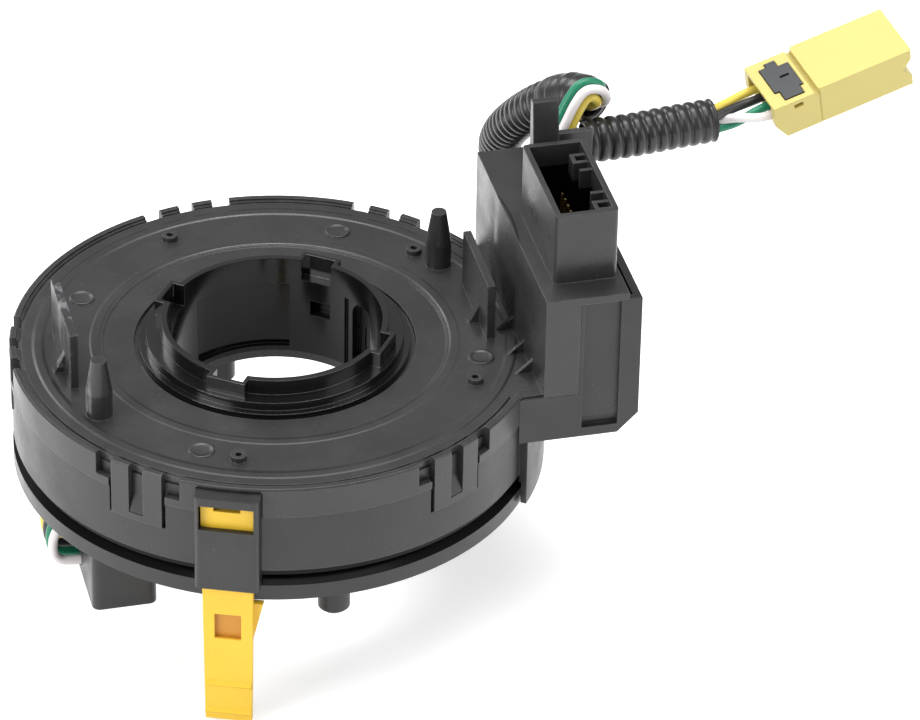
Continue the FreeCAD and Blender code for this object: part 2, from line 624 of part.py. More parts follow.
def lock_sleeve():
    """Sleeve outside the wall in which the lock slides, with a window near its top."""
    face = LOCK_INNER + LOCK_T + LOCK_GAP + SLEEVE_WALL
    solid = block(WALL_R - OUT, face, -SLEEVE_W / 2, SLEEVE_W / 2, SLEEVE_END, SLEEVE_TOP)
    upright = [e for e in solid.Edges if abs(e.tangentAt(e.FirstParameter).z) > 0.99]
    outer = [e for e in upright if e.CenterOfMass.x > face - FIT]
    return turned(solid.makeFillet(SLEEVE_CORNER, outer), LOCK_ANGLE)


def sleeve_cuts():
    half = LOCK_W / 2 + LOCK_GAP
    face = LOCK_INNER + LOCK_T + LOCK_GAP
    cuts = [block(LOCK_INNER - LOCK_GAP, face, -half, half, SLEEVE_END - OUT, LOCK_TOP + OUT),
            block(face - FIT, face + SLEEVE_WALL + OUT, -half, half, SLEEVE_WINDOW_TOP - SLEEVE_WINDOW_H,
                  SLEEVE_WINDOW_TOP),
            block(WALL_R - 2 * OUT, LOCK_INNER, -SLEEVE_W, SLEEVE_W, SLEEVE_END - OUT, WALL_BOTTOM)]
    return [turned(c, LOCK_ANGLE) for c in cuts]


def tube_gland():
    """Round collar on the case's back wall that takes the lower end of the corrugated tube."""
    x, y, z = LOOM_LOWER[0]
    room = LOOM_D / 2 + GLAND_GAP
    collar = Part.makeCylinder(room + GLAND_T, GLAND_L + FIT, vec(x, CASE_Y1 - FIT, z), vec(0, 1, 0))
    return collar.cut(Part.makeCylinder(room, GLAND_L + OUT, vec(x, CASE_Y1, z), vec(0, 1, 0)))


def wire_passage():
    """Hole for the wires through the case's back wall."""
    x, y, z = LOOM_LOWER[0]
    return Part.makeCylinder(LOOM_BORE_D / 2, CASE_T + 2 * OUT, vec(x, CASE_Y1 - CASE_T - OUT, z), vec(0, 1, 0))


def outer_housing():
    solid = join([drum_wall().cut(case_hollow()), case_tower(), guard_wall(), lock_sleeve(), tube_gland()])
    chamber = rod(CHAMBER_R, WALL_BOTTOM - OUT, -COVER_T + OUT)
    solid = solid.cut([chamber, wire_passage()] + sleeve_cuts())
    return join([solid] + [snap_tooth(a) for a in SNAP_ANGLES])


# Socket pins and the plate that carries them
def socket_pins():
    half = PIN_W / 2
    pins = []
    for x, y in pin_places():
        shaft = block(x - half, x + half, y - half, y + half, PIN_ROOT, PIN_TOP - PIN_W)
        tip = prism([(x - half, y - half, PIN_TOP - PIN_W), (x + half, y - half, PIN_TOP - PIN_W),
                     (x + half / 2, y - half, PIN_TOP), (x - half / 2, y - half, PIN_TOP)], (0, PIN_W, 0))
        pins.append(shaft.fuse(tip).removeSplitter())
    return Part.makeCompound(pins)


def terminal_holder():
    """Carrier plate inside the case, pierced by the pins."""
    inset = HOLDER_GAP
    plate = block(CASE_X0 + CASE_T + inset, CASE_X1 - CASE_T - inset, SOCKET_Y0, SOCKET_Y1, HOLDER_Z,
                  HOLDER_Z + HOLDER_T)
    half = PIN_W / 2 + FIT / 2
    holes = [block(x - half, x + half, y - half, y + half, HOLDER_Z - OUT, HOLDER_Z + HOLDER_T + OUT)
             for x, y in pin_places()]
    legs = [block(SEAM_X + inset, CASE_X1 - CASE_T - CASE_CHAMFER, y, y + CASE_T, CASE_BOTTOM + CASE_T + FIT,
                  HOLDER_Z + FIT) for y in (SOCKET_Y0, SOCKET_Y1 - CASE_T)]
    return join([plate] + legs).cut(holes)


# Rotor hub
def hub_bulge(angle):
    """Box-shaped bulge of the ring, outside one notch."""
    half = HUB_NOTCH_W / 2 + HUB_NOTCH_T
    return turned(block(BORE_R, HUB_NOTCH_R, -half, half, LEDGE_TOP - FIT, RING_TOP), angle)


def hub_notch(angle):
    half = HUB_NOTCH_W / 2
    notch = block(BORE_R - 2 * OUT, HUB_NOTCH_R - HUB_NOTCH_T, -half, half, HUB_NOTCH_BOTTOM, RING_TOP + OUT)
    return turned(notch, angle)


def rotor_hub():
    """Ring, two ledges and sleeve, with notches, a recessed panel and two windows in the bore."""
    flange_bottom = HUB_FLANGE_TOP - HUB_FLANGE_T
    body = lathe([(BORE_R, SLEEVE_BOTTOM), (SLEEVE_R, SLEEVE_BOTTOM), (SLEEVE_R, flange_bottom),
                  (HUB_FLANGE_R, flange_bottom), (HUB_FLANGE_R, HUB_FLANGE_TOP), (LEDGE_R, HUB_FLANGE_TOP),
                  (LEDGE_R, LEDGE_TOP), (BORE_R + RING_T, LEDGE_TOP), (BORE_R + RING_T, RING_TOP),
                  (BORE_R, RING_TOP)])
    body = join([body] + [hub_bulge(a) for a in NOTCH_ANGLES])
    panel = sector(BORE_R + PANEL_DEPTH, BORE_R - OUT, SLEEVE_BOTTOM + OUT, PANEL_TOP,
                   PANEL_ANGLE - PANEL_HALF, PANEL_ANGLE + PANEL_HALF)
    clip_hole = turned(block(BORE_R - OUT, SLEEVE_R + OUT, -CLIP_W / 2, CLIP_W / 2, CLIP_Z, CLIP_Z + CLIP_H),
                       CLIP_ANGLE)
    frame = sector(BORE_R + FRAME_DEPTH, BORE_R - OUT, SLEEVE_BOTTOM - OUT, PANEL_TOP,
                   WINDOW_ANGLE - FRAME_HALF, WINDOW_ANGLE + FRAME_HALF)
    arch_r = WINDOW_W / 2
    arch_z = SLEEVE_BOTTOM + WINDOW_H - arch_r
    arch = turned(Part.makeCylinder(arch_r, SLEEVE_R, vec(0, 0, arch_z), vec(1, 0, 0)), WINDOW_ANGLE)
    window = turned(block(0, SLEEVE_R + OUT, -arch_r, arch_r, SLEEVE_BOTTOM - OUT, arch_z), WINDOW_ANGLE)
    return body.cut([hub_notch(a) for a in NOTCH_ANGLES] + [panel, clip_hole, frame, arch, window])


# Rotor flange
def drive_pin(angle):
    at = polar(DRIVE_PIN_R, angle)
    pin = rod(DRIVE_PIN_D / 2, DRIVE_PIN_BOTTOM, OUTER_PLATE_TOP - PLATE_T / 2, at.x, at.y)
    end = [e for e in pin.Edges if abs(e.CenterOfMass.z - DRIVE_PIN_BOTTOM) < FIT]
    return pin.makeChamfer(DRIVE_PIN_CHAMFER, end)


def flange_rib(index):
    angle = (index + 0.5) * 360.0 / FLANGE_RIBS
    rib = block(INNER_PLATE_R, FLANGE_R - RIM_T + FIT, -FLANGE_RIB_T / 2, FLANGE_RIB_T / 2, RIM_BOTTOM + OUT,
                OUTER_PLATE_TOP - PLATE_T / 2)
    return turned(rib, angle)


def rotor_flange():
    """Core that fits round the hub's sleeve, stepped plate, rim, stiffening ribs and two drive pins."""
    inner_bottom = SLEEVE_BOTTOM - PLATE_T
    outer_bottom = OUTER_PLATE_TOP - PLATE_T
    core_in = SLEEVE_R + CORE_FIT
    body = lathe([(BORE_R, inner_bottom), (BORE_R, SLEEVE_BOTTOM), (core_in, SLEEVE_BOTTOM),
                  (core_in, CORE_TOP), (DRUM_CORE_R, CORE_TOP), (DRUM_CORE_R, SLEEVE_BOTTOM),
                  (INNER_PLATE_R, SLEEVE_BOTTOM),
                  (INNER_PLATE_R + PLATE_T, OUTER_PLATE_TOP), (FLANGE_R - RIM_T, OUTER_PLATE_TOP),
                  (FLANGE_R, RIM_TOP), (FLANGE_R, RIM_BOTTOM), (FLANGE_R - RIM_T, RIM_BOTTOM),
                  (FLANGE_R - RIM_T, outer_bottom), (INNER_PLATE_R, outer_bottom),
                  (INNER_PLATE_R - PLATE_T, inner_bottom)])
    ribs = [flange_rib(i) for i in range(FLANGE_RIBS)]
    body = join([body] + ribs + [drive_pin(a) for a in DRIVE_PIN_ANGLES])
    box_room = block(BOX_X0 - FIT, BOX_X1 + FIT, BOX_Y0 - FIT, BOX_Y1 + FIT, RIM_BOTTOM - OUT, outer_bottom)
    wire_slots = [rod(ROTOR_WIRE_D / 2 + ROTOR_WIRE_GAP, RIM_BOTTOM - OUT, OUTER_PLATE_TOP + OUT,
                      BOX_X0 - ROTOR_WIRE_D, y) for y in ROTOR_WIRE_Y]
    core_slot = turned(block(SLEEVE_R, DRUM_CORE_R + OUT, -CORE_SLOT_W / 2, CORE_SLOT_W / 2,
                             SLEEVE_BOTTOM + FIT, SLEEVE_BOTTOM + CORE_SLOT_H), WINDOW_ANGLE)
    return body.cut([box_room, core_slot] + wire_slots)


def rotor_wire_box():
    """Connector box under the flange, open below, with rounded corners."""
    top = OUTER_PLATE_TOP - PLATE_T - FIT
    solid = rounded_block(BOX_X0, BOX_X1, BOX_Y0, BOX_Y1, BOX_BOTTOM, top, BOX_CORNER)
    cavity = block(BOX_X0 + BOX_T, BOX_X1 - BOX_T, BOX_Y0 + BOX_T, BOX_Y1 - BOX_T, BOX_BOTTOM - OUT,
                   BOX_FLOOR)
    holes = [Part.makeCylinder(ROTOR_WIRE_D / 2 + ROTOR_WIRE_GAP, BOX_T + OUT,
                               vec(BOX_X0 - OUT / 2, y, ROTOR_WIRE_Z - ROTOR_WIRE_DROP), vec(1, 0, 0))
             for y in ROTOR_WIRE_Y]
    return solid.cut([cavity] + holes)


def rotor_box_pins():
    x = (BOX_X0 + BOX_X1) / 2
    middle = (BOX_Y0 + BOX_Y1) / 2
    half = PIN_W / 2
    pins = []
    for i in range(BOX_PIN_COUNT):
        y = middle + (i - (BOX_PIN_COUNT - 1) / 2) * BOX_PIN_PITCH
        pins.append(block(x - half, x + half, y - half, y + half, BOX_PIN_TIP, BOX_FLOOR))
    return Part.makeCompound(pins)


# Wires and tubes
def arc_route(points):
    """Straight runs joined by tangent arcs as large as the two runs allow."""
    nodes = [vec(*p) for p in points]
    edges = []
    start = nodes[0]
    for before, corner, after in zip(nodes, nodes[1:], nodes[2:]):
        back = before - corner
        on = after - corner
        half_turn = (math.pi - back.getAngle(on)) / 2
        reach = 0.45 * min(back.Length, on.Length)
        first = corner + back.normalize() * reach
        last = corner + on.normalize() * reach
        radius = reach / math.tan(half_turn)
        inward = (first + last) * 0.5 - corner
        sag = math.hypot(radius, reach) - radius
        middle = corner + inward.normalize() * sag
        edges.append(Part.LineSegment(start, first).toShape())
        edges.append(Part.Arc(first, middle, last).toShape())
        start = last
    edges.append(Part.LineSegment(start, nodes[-1]).toShape())
    return Part.Wire(edges)


def tube(points, diameter):
    route = arc_route(points)
    start = route.Edges[0]
    along = start.tangentAt(start.FirstParameter)
    circle = Part.Wire(Part.Circle(vec(*points[0]), along, diameter / 2).toShape())
    return Part.Wire(route.Edges).makePipeShell([circle], True, False)


def hollow_tube(points, outside, bore):
    return tube(points, outside).cut(tube(points, bore))


def loom_tape():
    """Tape round the lower tube, from where the tube rises behind the case to its end."""
    inside = LOOM_D + 2 * TAPE_GAP
    taped = LOOM_LOWER[-5:]
    around = block(CASE_X0, CASE_X1 + LOOM_D, 0, TAPE_FROM_Y, CASE_TOP, SADDLE_TOP + LOOM_D)
    return tube(taped, inside + 2 * TAPE_T).common(around).cut(tube(taped, inside))


def wire_points(side, rise):
    """The bundle's route moved to one side and up; the wires run side by side without twisting."""
    middles = [vec(*p[:3]) for p in WIRE_ROUTE]
    along = (middles[1] - middles[0]).normalize()
    offset = vec(-along.y, along.x).normalize() * side + vec(0, 0, 1) * rise
    offset -= along * offset.dot(along)
    moved = [middles[0] + offset]
    for i in range(1, len(middles)):
        ahead = along
        if i + 1 < len(middles):
            ahead = (middles[i + 1] - middles[i]).normalize()
        face = along + ahead
        spread = offset * (1 + WIRE_ROUTE[i][3])
        moved.append(middles[i] + spread - along * (spread.dot(face) / along.dot(face)))
        offset = FreeCAD.Rotation(along, ahead).multVec(offset)
        along = ahead
    return moved


def rotor_wire(y):
    """One wire from the flange down to the side of the connector box."""
    x = BOX_X0 - ROTOR_WIRE_D
    top = OUTER_PLATE_TOP - PLATE_T / 2
    start, bulge, low = ROTOR_WIRE_SHAPE
    return tube([(x, y, top), (x - start[0], y, top + start[1]), (x - bulge[0], y, ROTOR_WIRE_Z + bulge[1]),
                 (x - low[0], y, ROTOR_WIRE_Z + low[1]),
                 (BOX_X0 + BOX_T / 2, y, ROTOR_WIRE_Z - ROTOR_WIRE_DROP)], ROTOR_WIRE_D)


# Flat cable, its two ends and the slip sheets
def flat_cable():
    """Flexible flat cable wound between the core and the wall."""
    first = DRUM_CORE_R + CABLE_GAP
    last = CHAMBER_R - CABLE_GAP
    steps = int(CABLE_TURNS * 24)

    def edge(shift):
        points = [polar(first + (last - first - CABLE_T) * i / steps + shift, 360 * CABLE_TURNS * i / steps,
                        CABLE_TOP - CABLE_H) for i in range(steps + 1)]
        curve = Part.BSplineCurve()
        curve.interpolate(points)
        return curve.toShape()

    inner = edge(0)
    outer = edge(CABLE_T)
    ends = [Part.makeLine(inner.Vertexes[i].Point, outer.Vertexes[i].Point) for i in (0, -1)]
    outline = Part.Wire(Part.__sortEdges__([inner, ends[1], outer, ends[0]]))
    return Part.Face(outline).extrude(vec(0, 0, CABLE_H))


def slip_sheet(top, r_in, r_out):
    """Thin ring that the cable slides on."""
    return ring(r_out, r_in, top - SLIP_T, top)


def outer_cable_end():
    """Moulded block that holds the cable's outer end in the case."""
    return block(CASE_X0 + CASE_T + HOLDER_GAP, CASE_X0 + CASE_T + HOLDER_GAP + TERMINAL_T, -TERMINAL_W / 2,
                 TERMINAL_W / 2, CASE_BOTTOM + CASE_T + FIT, -COVER_T - FIT)


def inner_cable_end():
    """Moulded block that holds the cable's inner end, under the core's window."""
    return sector(DRUM_CORE_R - FIT, SLEEVE_R + CORE_FIT + FIT, SLEEVE_BOTTOM + 2 * FIT,
                  SLEEVE_BOTTOM + CORE_SLOT_H - FIT, WINDOW_ANGLE - CABLE_END_HALF,
                  WINDOW_ANGLE + CABLE_END_HALF)


# Transport lock

def transport_lock():
    """Flat strip with two hooks at its top, a square recess, two grip ridges and a tapering side web."""
    x0 = LOCK_INNER
    x1 = LOCK_INNER + LOCK_T
    half = LOCK_W / 2
    low_half = LOCK_END_W / 2
    web_top = RIM_BOTTOM - LOCK_FACE_GAP
    strip = prism([(x0, -half, LOCK_TOP), (x0, half, LOCK_TOP), (x0, low_half, LOCK_BOTTOM),
                   (x0, -low_half, LOCK_BOTTOM)], (LOCK_T, 0, 0))
    web = prism([(x0 + FIT, LOCK_WEB_ROOT, web_top), (x0 + FIT, half + LOCK_WEB_OUT, web_top),
                 (x0 + FIT, LOCK_WEB_ROOT, LOCK_WEB_BOTTOM)], (-LOCK_WEB_T, 0, 0))
    ridges = [prism([(x1 - FIT, -low_half, z), (x1 + LOCK_RIDGE_OUT, -low_half, z - LOCK_RIDGE_H / 2),
                     (x1 - FIT, -low_half, z - LOCK_RIDGE_H)], (0, LOCK_END_W, 0)) for z in LOCK_RIDGES]
    cleft = block(x0 - OUT, x1 + OUT, -LOCK_CLEFT_W / 2, LOCK_CLEFT_W / 2, LOCK_TOP - LOCK_CLEFT_H,
                  LOCK_TOP + OUT)
    recess = block(x1 - LOCK_HOLE_DEPTH, x1 + OUT, -LOCK_HOLE_W / 2, LOCK_HOLE_W / 2,
                   LOCK_HOLE_TOP - LOCK_HOLE_H, LOCK_HOLE_TOP)
    return turned(join([strip, web] + ridges).cut([cleft, recess]), LOCK_ANGLE)


# Airbag connector, drawn with its length on X and its rear face at x = 0
def placed(shape):
    copy = shape.copy()
    turn = FreeCAD.Rotation(PLUG_YAW, PLUG_PITCH, PLUG_ROLL)
    copy.Placement = FreeCAD.Placement(vec(*PLUG_AT), turn)
    return copy


def insert_prism(grow, z0, z1):
    face = Part.Face(Part.makePolygon([vec(x, y, z0) for x, y in INSERT_OUTLINE + INSERT_OUTLINE[:1]]))
    if grow:
        face = face.makeOffset2D(grow)
    return face.extrude(vec(0, 0, z1 - z0))


def blade_places():
    return [(i - (BLADE_COUNT - 1) / 2) * BLADE_PITCH for i in range(BLADE_COUNT)]


def plug_blade(y, grow=0.0):
    return block(2 * PLUG_BACK_T - grow, PLUG_L - PLUG_NOTCH_DEPTH - BLADE_SETBACK, y - BLADE_W / 2 - grow,
                 y + BLADE_W / 2 + grow, -BLADE_T / 2 - grow, BLADE_T / 2 + grow)


def connector_shell():
    """Yellow housing: rear block, groove, longer front block with a V across its mouth."""
    w = PLUG_W / 2
    h = PLUG_H / 2
    front = rounded_block(PLUG_REAR_L, PLUG_L, -w, w, -h, h, PLUG_EDGE_R)
    rear = block(0, PLUG_REAR_L + FIT, -w, w, -h, h - PLUG_REAR_DROP)
    groove = block(PLUG_REAR_L - PLUG_GROOVE, PLUG_REAR_L, -w - OUT, w + OUT, h - 2 * PLUG_REAR_DROP, h + OUT)
    vee = prism([(PLUG_L + FIT, -w - OUT, PLUG_NOTCH_H / 2), (PLUG_L - PLUG_NOTCH_DEPTH, -w - OUT, 0),
                 (PLUG_L + FIT, -w - OUT, -PLUG_NOTCH_H / 2)], (0, PLUG_W + 2 * OUT, 0))
    mouth = block(PLUG_L - PLUG_MOUTH_L, PLUG_L + OUT, -PLUG_MOUTH_W / 2, PLUG_MOUTH_W / 2, -PLUG_MOUTH_H / 2,
                  PLUG_MOUTH_H / 2)
    seat = insert_prism(INSERT_GAP, h - PLUG_REAR_DROP - INSERT_T, h + OUT)
    side_slot = block(*PLUG_SLOT_X, -w - OUT, -w + PLUG_SLOT_DEPTH, *PLUG_SLOT_Z)
    heel = prism([(-FIT, -w - OUT, -h - FIT), (PLUG_HEEL[0], -w - OUT, -h - FIT),
                  (-FIT, -w - OUT, -h + PLUG_HEEL[1])], (0, PLUG_W + 2 * OUT, 0))
    pocket = block(-OUT, PLUG_POCKET_DEPTH, -PLUG_POCKET_W / 2, PLUG_POCKET_W / 2, -PLUG_POCKET_H / 2,
                   PLUG_POCKET_H / 2)
    cells = [plug_blade(y, FIT) for y in blade_places()]
    return placed(front.fuse(rear).cut([groove, vee, mouth, seat, side_slot, heel, pocket] + cells))


def connector_insert():
    h = PLUG_H / 2
    x0, x1, y0, y1 = INSERT_SLOT
    plate = insert_prism(0, h - PLUG_REAR_DROP - INSERT_T + FIT, h - PLUG_REAR_DROP + INSERT_PROUD)
    slot = block(x0, x1, y0, y1, h - PLUG_REAR_DROP - INSERT_T / 2, h + OUT)
    return placed(plate.cut(slot))


def connector_blades():
    return placed(Part.makeCompound([plug_blade(y) for y in blade_places()]))


save("upper_cover", upper_cover())
save("outer_housing", outer_housing())
save("socket_pins", socket_pins())
save("terminal_holder", terminal_holder())
save("rotor_hub", rotor_hub())
save("rotor_flange", rotor_flange())
save("rotor_wire_box", rotor_wire_box())
save("rotor_box_pins", rotor_box_pins())
save("flat_cable", flat_cable())
save("upper_slip_sheet", slip_sheet(-LIP_T + LIP_TOP - FIT, DRUM_CORE_R + OUT, CHAMBER_R - OUT))
save("lower_slip_sheet", slip_sheet(SLEEVE_BOTTOM + FIT + SLIP_T, DRUM_CORE_R + FIT, INNER_PLATE_R - FIT))
save("outer_cable_end", outer_cable_end())
save("inner_cable_end", inner_cable_end())
save("transport_lock", transport_lock())
save("loom_lower", hollow_tube(LOOM_LOWER, LOOM_D, LOOM_BORE_D))
save("loom_upper", hollow_tube(LOOM_UPPER, LOOM_D, LOOM_BORE_D))
save("loom_tape", loom_tape())
for colour, place in WIRE_PLACES.items():
    save("wire_" + colour, tube(wire_points(*place), WIRE_D))
for colour, wire_y in zip(("yellow", "black", "green", "white"), ROTOR_WIRE_Y):
    save("rotor_wire_" + colour, rotor_wire(wire_y))
save("connector_shell", connector_shell())
save("connector_insert", connector_insert())
save("connector_blades", connector_blades())
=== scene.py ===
import bpy
import bmesh
import json
import math
from mathutils import Euler, Matrix, Vector


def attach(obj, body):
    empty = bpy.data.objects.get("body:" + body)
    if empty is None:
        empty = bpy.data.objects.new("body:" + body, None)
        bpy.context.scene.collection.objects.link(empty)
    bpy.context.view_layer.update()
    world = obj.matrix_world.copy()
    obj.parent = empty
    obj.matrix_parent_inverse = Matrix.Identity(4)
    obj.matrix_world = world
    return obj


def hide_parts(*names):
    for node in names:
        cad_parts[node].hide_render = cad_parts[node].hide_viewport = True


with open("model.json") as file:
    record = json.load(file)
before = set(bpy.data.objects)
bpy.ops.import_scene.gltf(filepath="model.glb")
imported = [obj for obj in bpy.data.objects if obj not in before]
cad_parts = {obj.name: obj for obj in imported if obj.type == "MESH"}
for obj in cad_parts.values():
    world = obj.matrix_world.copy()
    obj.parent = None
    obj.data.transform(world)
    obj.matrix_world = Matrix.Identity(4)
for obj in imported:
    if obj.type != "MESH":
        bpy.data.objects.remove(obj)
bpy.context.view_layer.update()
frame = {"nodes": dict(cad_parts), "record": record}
NODES = frame["nodes"]
MM = 0.001

# Patterns that every plastic shares; a larger scale is a finer pattern
TONE_SCALE = 38.0        # slow changes of colour
GRAIN_SCALE = 2600.0     # fine grain of the mould
WEAR_SCALE = 210.0       # where the edges are rubbed
DUST_SCALE = 2000.0
GLOSS_SCALE = 95.0       # patches of different gloss
WAVE_SCALE = 60.0        # faces that aren't quite flat
WAVE_DEPTH = 0.03 * MM
EDGE_WIDTH = 0.5 * MM    # pale worn edge
EDGE_TURN = 0.25         # a normal that turns this much is a full edge
EDGE_ROUND = 0.25 * MM   # sharp edges catch the light as if rounded so far
EDGE_SAMPLES = 4
EDGE_LIFT = 0.012        # worn edges of black plastic are still a little grey
DUST_COLOUR = (0.55, 0.55, 0.55)
METAL_TONE_SCALE = 700.0
METAL_GLOSS_SCALE = 1500.0

# Places on the part with a look of their own, from the sizes in its source
DRUM_R = 52.3 * MM
# Share of DRUM_R, and the relief there as a share of RING_DEPTH
COVER_RINGS = ((0.0, 0.3), (0.655, 0.3), (0.665, 0.62), (0.69, 0.62), (0.70, 0.42), (0.80, 0.45),
               (0.865, 0.5), (0.88, 0.95), (0.905, 0.95), (0.915, 0.55), (1.0, 0.55))
RING_DEPTH = 0.7 * MM
DIMPLE_ANGLES = (59.9, 147.4, 238.0, 338.3)
DIMPLE_AT_R = 41.0 * MM
DIMPLE_R = 2.6 * MM
# Share of the way in from the rim, and the relief there as a share of DIMPLE_DEPTH
DIMPLE_PROFILE = ((0.0, 0.5), (0.12, 0.64), (0.4, 0.35), (1.0, 0.12))
DIMPLE_DEPTH = 0.8 * MM
LEFT_RIB_X = -40.3 * MM
LEFT_RIB_FOOT = 1.2 * MM
SCUFF_SCALE = 260.0
SCUFF_STRETCH = (1.0, 1.0, 0.25)
SCUFF_COLOUR = (0.30, 0.30, 0.31)
# Painted shade inside the socket: where it lies and its colour
SOCKET_X = (50.9 * MM, 61.3 * MM)
SOCKET_Y = (-23.98 * MM, 0.68 * MM)
SOCKET_Z = (20.0 * MM, 32.5 * MM)
SOCKET_SHADE = (0.003, 0.003, 0.003)
BORE_WALL_R = 21.3 * MM
BORE_PANEL_R = 22.9 * MM
BORE_PANEL_TOP = -0.5 * MM
# Painted shade in the gap between the wall and the flange's rim: where it lies and its colour
RIM_GAP_R = 52.09 * MM
RIM_GAP_Z = (-22.0 * MM, -18.62 * MM)
RIM_GAP_SHADE = (0.002, 0.002, 0.002)
# Painted shade on the floor of the lock's square hole: where it lies and its colour
LOCK_ANGLE = math.radians(-111.7)
LOCK_HOLE_FLOOR = 53.7 * MM
LOCK_HOLE_HALF = 2.61 * MM
LOCK_HOLE_Z = (-33.91 * MM, -28.09 * MM)
LOCK_HOLE_SHADE = (0.55, 0.24, 0.02)


# Materials
class Shader:
    """Short calls that add nodes to a material with one Principled shader."""

    def __init__(self, mat):
        self.mat = mat
        self.tree = mat.node_tree
        self.out = self.tree.nodes["Principled BSDF"]
        self.coords = self.tree.nodes.new("ShaderNodeTexCoord").outputs["Object"]

    def feed(self, socket, value):
        if isinstance(value, bpy.types.NodeSocket):
            self.tree.links.new(value, socket)
        else:
            socket.default_value = value

    def node(self, kind, **inputs):
        made = self.tree.nodes.new(kind)
        for key, value in inputs.items():
            self.feed(made.inputs[key.replace("_", " ")], value)
        return made

    def math(self, kind, first, second=0.0):
        made = self.tree.nodes.new("ShaderNodeMath")
        made.operation = kind
        self.feed(made.inputs[0], first)
        self.feed(made.inputs[1], second)
        return made.outputs[0]

    def noise(self, scale, detail, rough, stretch=None):
        vector = self.coords
        if stretch:
            vector = self.node("ShaderNodeMapping", Vector=vector, Scale=stretch).outputs[0]
        made = self.node("ShaderNodeTexNoise", Vector=vector, Scale=scale, Detail=detail, Roughness=rough)
        return made.outputs[0]

    def ramp(self, value, stops):
        made = self.node("ShaderNodeValToRGB", Fac=value)
        for i, (at, colour) in enumerate(stops):
            element = made.color_ramp.elements[i] if i < 2 else made.color_ramp.elements.new(at)
            element.position = at
            element.color = (*colour, 1.0)
        return made.outputs[0]

    def profile(self, value, stops):
        return self.ramp(value, [(at, (level,) * 3) for at, level in stops])

    def grey(self, value, low, high, low_at, high_at):
        return self.profile(value, ((low_at, low), (high_at, high)))

    def mix(self, factor, first, second):
        made = self.tree.nodes.new("ShaderNodeMix")
        made.data_type = "RGBA"
        self.feed(made.inputs["Factor"], factor)
        for socket, value in ((made.inputs["A"], first), (made.inputs["B"], second)):
            self.feed(socket, (*value, 1.0) if isinstance(value, tuple) else value)
        return made.outputs["Result"]

    def softened(self, radius):
        """Normals that turn softly over sharp edges."""
        bevel = self.node("ShaderNodeBevel", Radius=radius)
        bevel.samples = EDGE_SAMPLES
        return bevel.outputs[0]

    def edges(self):
        """About 1 along sharp edges and 0 elsewhere."""
        geometry = self.tree.nodes.new("ShaderNodeNewGeometry")
        dot = self.tree.nodes.new("ShaderNodeVectorMath")
        dot.operation = "DOT_PRODUCT"
        self.feed(dot.inputs[0], self.softened(EDGE_WIDTH))
        self.feed(dot.inputs[1], geometry.outputs["Normal"])
        turned = self.math("SUBTRACT", 1.0, dot.outputs["Value"])
        return self.node("ShaderNodeMapRange", Value=turned, From_Min=0.0, From_Max=EDGE_TURN).outputs[0]

    def bump(self, height, distance, strength, after):
        return self.node("ShaderNodeBump", Height=height, Distance=distance, Strength=strength,
                         Normal=after).outputs[0]

    def place(self):
        """The x, y and z of a point and its distance from the bore's axis."""
        split = self.node("ShaderNodeSeparateXYZ", Vector=self.coords)
        x, y, z = split.outputs
        radius = self.math("SQRT", self.math("ADD", self.math("POWER", x, 2.0), self.math("POWER", y, 2.0)))
        return x, y, z, radius

    def below(self, value, limit):
        return self.math("LESS_THAN", value, limit)

    def between(self, value, limits):
        low, high = limits
        return self.math("MULTIPLY", self.math("GREATER_THAN", value, low), self.below(value, high))

    def source(self, name):
        """What feeds one of the shader's inputs now."""
        return self.out.inputs[name].links[0].from_socket

    def repaint(self, where, colour):
        self.feed(self.out.inputs["Base Color"], self.mix(where, self.source("Base Color"), colour))

    def dull(self, where, specular):
        """Takes the gloss away where little light gets in."""
        socket = self.out.inputs["Specular IOR Level"]
        self.feed(socket, self.mix(where, (socket.default_value,) * 3, (specular,) * 3))


def new_shader(name, metallic, specular):
    mat = bpy.data.materials.new(name)
    mat.use_nodes = True
    s = Shader(mat)
    s.out.inputs["Metallic"].default_value = metallic
    s.out.inputs["Specular IOR Level"].default_value = specular
    return s


def moulded(name, colour, roughness, grain=0.010, specular=0.45, tint=0.16, edge_light=1.6, rough_span=0.10,
            dust=0.0):
    """Moulded plastic: fine grain (its depth in mm), slow changes of colour and gloss, paler edges."""
    s = new_shader(name, 0.0, specular)
    darker = tuple(c * (1 - tint) for c in colour)
    paler = tuple(min(1.0, c * (1 + tint)) for c in colour)
    base = s.ramp(s.noise(TONE_SCALE, 4.0, 0.6), [(0.3, darker), (0.7, paler)])
    worn = tuple(min(1.0, c * edge_light + EDGE_LIFT) for c in colour)
    rubbed = s.grey(s.noise(WEAR_SCALE, 3.0, 0.7), 0.15, 0.9, 0.4, 0.62)
    base = s.mix(s.math("MULTIPLY", s.edges(), rubbed), base, worn)
    if dust:
        base = s.mix(s.grey(s.noise(DUST_SCALE, 1.0, 0.4), 0.0, dust, 0.73, 0.77), base, DUST_COLOUR)
    patches = s.noise(GLOSS_SCALE, 5.0, 0.65)
    rough = s.grey(patches, roughness - rough_span, roughness + rough_span, 0.3, 0.7)
    normal = s.bump(s.noise(GRAIN_SCALE, 2.0, 0.6), grain * MM, 0.5, s.softened(EDGE_ROUND))
    normal = s.bump(s.noise(WAVE_SCALE, 2.0, 0.5), WAVE_DEPTH, 0.6, normal)
    s.feed(s.out.inputs["Base Color"], base)
    s.feed(s.out.inputs["Roughness"], rough)
    s.feed(s.out.inputs["Normal"], normal)
    return s.mat


def glossy_metal(name, colour, roughness):
    s = new_shader(name, 1.0, 0.5)
    darker = tuple(c * 0.8 for c in colour)
    shade = s.ramp(s.noise(METAL_TONE_SCALE, 3.0, 0.6), [(0.3, darker), (0.7, colour)])
    rough = s.grey(s.noise(METAL_GLOSS_SCALE, 2.0, 0.6), roughness * 0.7, roughness * 1.4, 0.35, 0.65)
    s.feed(s.out.inputs["Base Color"], shade)
    s.feed(s.out.inputs["Roughness"], rough)
    return s.mat


